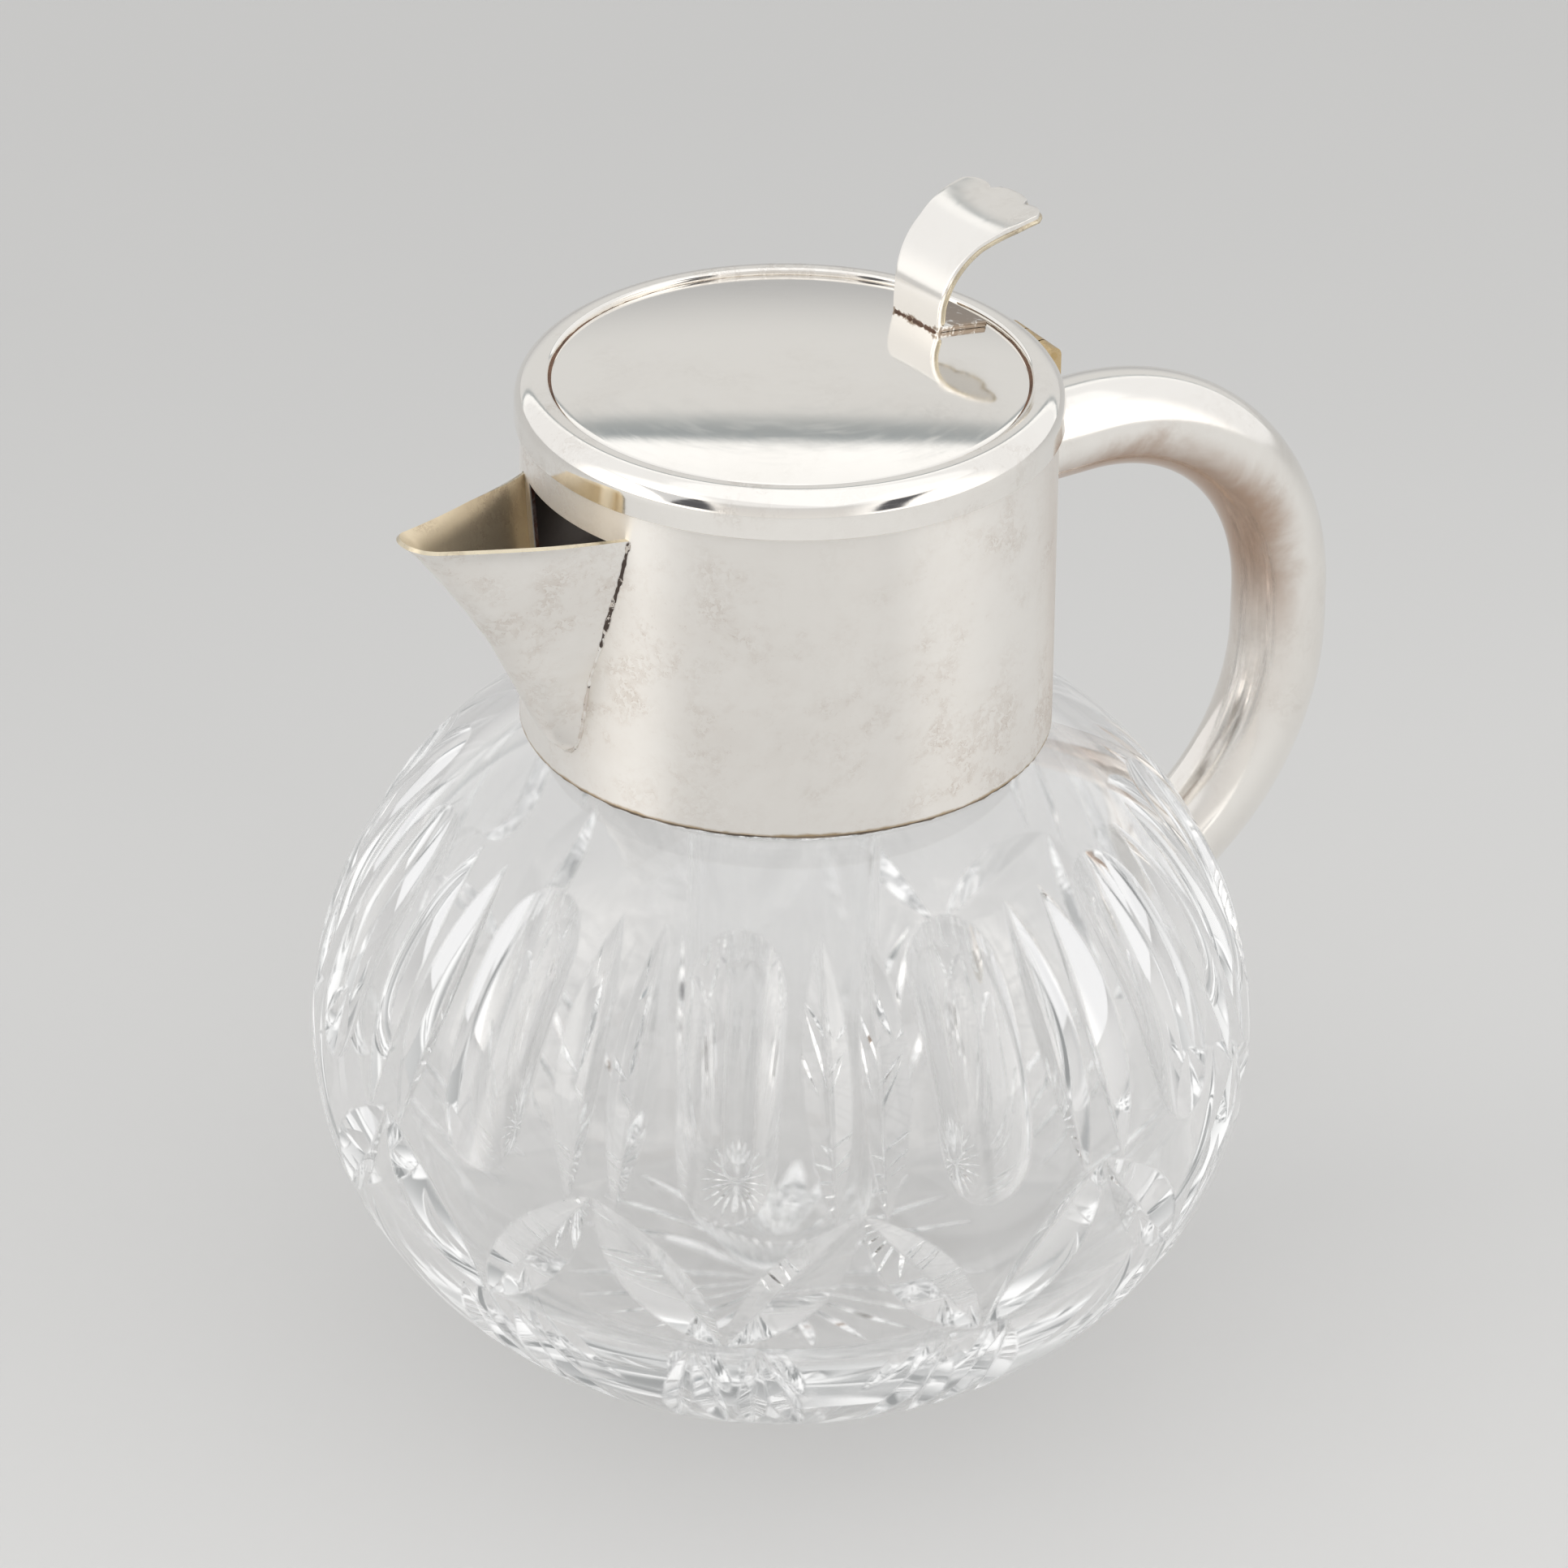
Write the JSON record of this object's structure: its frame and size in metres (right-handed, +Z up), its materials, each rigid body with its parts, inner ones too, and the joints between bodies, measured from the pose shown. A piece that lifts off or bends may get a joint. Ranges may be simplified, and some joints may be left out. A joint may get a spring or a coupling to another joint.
{
  "type": "cut-glass jug with plated mounts",
  "caption": "Globe-shaped cut-glass jug with a plated collar, pinched spout, hinged lid with thumb piece, tubular side handle and hanging ice insert.",
  "frame": {"origin": "centre of the base, on the surface it stands on", "axes": "+Z up the jug's axis, spout towards -X, handle and hinge towards +X"},
  "size_m": [0.213, 0.18, 0.2209],
  "materials": {
    "cut_glass": "cut and polished clear crystal",
    "insert_glass": "clear blown tube",
    "cement": "aged plaster, matt",
    "collar_silver": "worn silver plate",
    "spout_silver": "worn silver plate, olive tarnish inside",
    "seat_silver": "dull silver plate",
    "lid_silver": "worn silver plate",
    "dome_silver": "polished silver plate",
    "thumb_silver": "polished silver plate",
    "hinge_brass": "plate worn through to brass",
    "pin_brass": "bare brass",
    "handle_silver": "worn silver plate",
    "cap_silver": "worn silver plate"
  },
  "bodies": {
    "jug": {"glass_globe": "cut_glass", "neck_cement": "cement", "collar_band": "collar_silver", "spout_body": "spout_silver", "insert_seat": "seat_silver", "collar_hinge_leaf": "hinge_brass", "hinge_pin": "pin_brass", "handle_tube": "handle_silver", "handle_cap": "cap_silver"},
    "lid": {"lid_rim": "lid_silver", "lid_dome": "dome_silver", "thumb_lever": "thumb_silver", "lid_hinge_leaf": "hinge_brass"},
    "insert": {"ice_insert": "insert_glass"}
  },
  "joints": [
    {"name": "lid_hinge", "type": "hinge", "parent": "jug", "child": "lid", "pos_m": [0.0544, 0, 0.19364], "axis": [0, 1, 0], "range_deg": [0, 95]},
    {"name": "ice_lift", "type": "slide", "parent": "jug", "child": "insert", "axis": [0, 0, 1], "range_m": [0, 0.04]}
  ]
}
